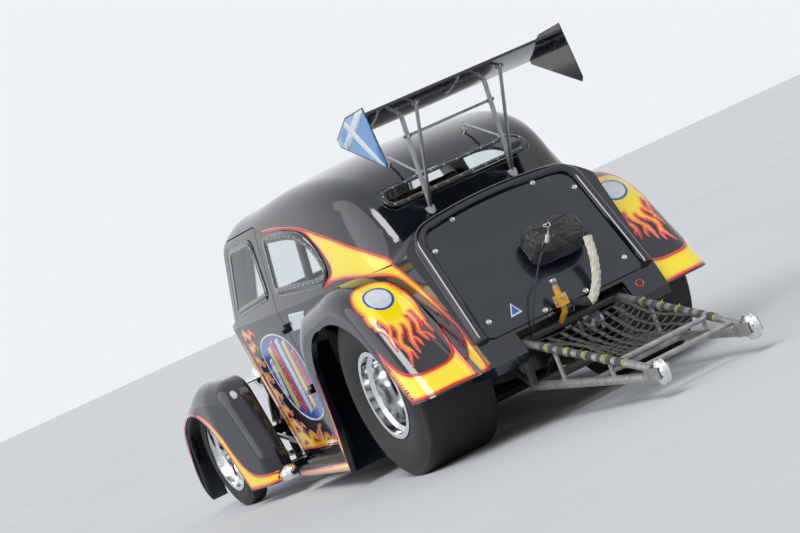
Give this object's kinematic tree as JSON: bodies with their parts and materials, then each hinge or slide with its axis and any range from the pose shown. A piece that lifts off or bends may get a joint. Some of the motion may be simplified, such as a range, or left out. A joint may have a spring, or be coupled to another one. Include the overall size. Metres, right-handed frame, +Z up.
{
  "type": "drag racing car",
  "caption": "Tube-framed drag racing saloon with bulbous fenders, wide rear slicks, rear wing, parachute pack and wheelie bars.",
  "frame": {"origin": "on the ground, at the middle of the overall length and width", "axes": "-Y is the car's front, +X its left side, +Z up"},
  "size_m": [1.516, 4.7858, 1.537],
  "materials": {
    "black_paint": "gloss black",
    "maroon_paint": "gloss dark maroon",
    "frame_paint": "satin dark grey tube",
    "bare_tube": "weathered bare tube",
    "sheet": "satin sheet",
    "clear": "clear sheet with a black border",
    "tyre_rubber": "black rubber",
    "polished": "polished",
    "steel": "machined steel",
    "iron": "painted casting",
    "chrome_steel": "chrome plate",
    "webbing": "black nylon",
    "sleeve": "off-white sleeve",
    "foam": "yellow foam",
    "plastic": "black"
  },
  "bodies": {
    "chassis": {"cab_shell": "black_paint", "boot_panel": "black_paint", "boot_moulding": "black_paint", "sills": "black_paint", "grille_shell": "black_paint", "rear_fender_left": "black_paint", "rear_fender_right": "black_paint", "front_fender_left": "black_paint", "front_fender_right": "black_paint", "wing": "black_paint", "side_panel_left": "maroon_paint", "side_panel_right": "maroon_paint", "frame_rails": "frame_paint", "frame_cross_tubes": "frame_paint", "roll_cage": "frame_paint", "front_axle": "frame_paint", "front_suspension": "frame_paint", "rear_suspension": "frame_paint", "rear_axle": "frame_paint", "wheelie_bars": "bare_tube", "steering_gear": "bare_tube", "wing_struts": "bare_tube", "wheel_tubs": "sheet", "floor_pan": "sheet", "wing_end_plates": "sheet", "dashboard": "sheet", "windscreen": "clear", "quarter_windows": "clear", "rear_window": "clear", "parachute_mount": "steel", "engine_block": "iron", "driveline": "iron", "exhausts": "chrome_steel", "headlamps": "chrome_steel", "parachute_pack": "webbing", "wheelie_net": "webbing", "parachute_strap": "sleeve", "roll_bar_padding": "foam", "seat": "plastic", "release_cable": "plastic"},
    "door_left": {"door_left": "black_paint", "door_glass_left": "clear"},
    "door_right": {"door_right": "black_paint", "door_glass_right": "clear"},
    "bonnet": {"bonnet": "maroon_paint"},
    "knuckle_left": {"knuckle_left": "steel"},
    "knuckle_right": {"knuckle_right": "steel"},
    "front_wheel_left": {"front_rim_left": "polished", "front_tyre_left": "tyre_rubber"},
    "front_wheel_right": {"front_rim_right": "polished", "front_tyre_right": "tyre_rubber"},
    "rear_wheel_left": {"rear_rim_left": "polished", "rear_tyre_left": "tyre_rubber"},
    "rear_wheel_right": {"rear_rim_right": "polished", "rear_tyre_right": "tyre_rubber"},
    "wheelie_wheel_left": {"wheelie_wheel_left": "polished"},
    "wheelie_wheel_right": {"wheelie_wheel_right": "polished"},
    "steering_rack": {"steering_rack": "bare_tube"},
    "steering_wheel": {"steering_wheel": "plastic"}
  },
  "joints": [
    {"name": "door_left_hinge", "type": "hinge", "parent": "chassis", "child": "door_left", "pos_m": [0.612, -0.368, 0.6], "axis": [0, 0, 1], "range_deg": [0, 70]},
    {"name": "door_right_hinge", "type": "hinge", "parent": "chassis", "child": "door_right", "pos_m": [-0.612, -0.368, 0.6], "axis": [0, 0, -1], "range_deg": [0, 70]},
    {"name": "bonnet_hinge", "type": "hinge", "parent": "chassis", "child": "bonnet", "pos_m": [0, -1.27, 0.95], "axis": [-1, 0, 0], "range_deg": [0, 60]},
    {"name": "steer_left", "type": "hinge", "parent": "chassis", "child": "knuckle_left", "pos_m": [0.54, -1.866, 0.298], "axis": [0, 0, 1], "range_deg": [-12, 12]},
    {"name": "steer_right", "type": "hinge", "parent": "chassis", "child": "knuckle_right", "pos_m": [-0.54, -1.866, 0.298], "axis": [0, 0, 1], "range_deg": [-12, 12]},
    {"name": "front_wheel_left_spin", "type": "hinge", "parent": "knuckle_left", "child": "front_wheel_left", "pos_m": [0.64, -1.866, 0.298], "axis": [1, 0, 0], "continuous": true},
    {"name": "rear_wheel_left_spin", "type": "hinge", "parent": "chassis", "child": "rear_wheel_left", "pos_m": [0.524, 0.744, 0.385], "axis": [1, 0, 0], "continuous": true},
    {"name": "wheelie_wheel_left_spin", "type": "hinge", "parent": "chassis", "child": "wheelie_wheel_left", "pos_m": [0.218, 2.344, 0.108], "axis": [1, 0, 0], "continuous": true},
    {"name": "front_wheel_right_spin", "type": "hinge", "parent": "knuckle_right", "child": "front_wheel_right", "pos_m": [-0.64, -1.866, 0.298], "axis": [1, 0, 0], "continuous": true},
    {"name": "rear_wheel_right_spin", "type": "hinge", "parent": "chassis", "child": "rear_wheel_right", "pos_m": [-0.524, 0.744, 0.385], "axis": [1, 0, 0], "continuous": true},
    {"name": "wheelie_wheel_right_spin", "type": "hinge", "parent": "chassis", "child": "wheelie_wheel_right", "pos_m": [-0.218, 2.344, 0.108], "axis": [1, 0, 0], "continuous": true},
    {"name": "rack_slide", "type": "slide", "parent": "chassis", "child": "steering_rack", "axis": [1, 0, 0], "range_m": [-0.02199, 0.02199]},
    {"name": "steering_wheel_turn", "type": "hinge", "parent": "chassis", "child": "steering_wheel", "pos_m": [0.318, -0.756, 0.8], "axis": [0, 0.9397, 0.342], "range_deg": [-144, 144]}
  ],
  "couplings": [
    {"joint": "steer_right", "follows": "steer_left", "ratio": 1},
    {"joint": "rack_slide", "follows": "steer_left", "m_per_rad": 0.105},
    {"joint": "steering_wheel_turn", "follows": "steer_left", "ratio": 12}
  ]
}
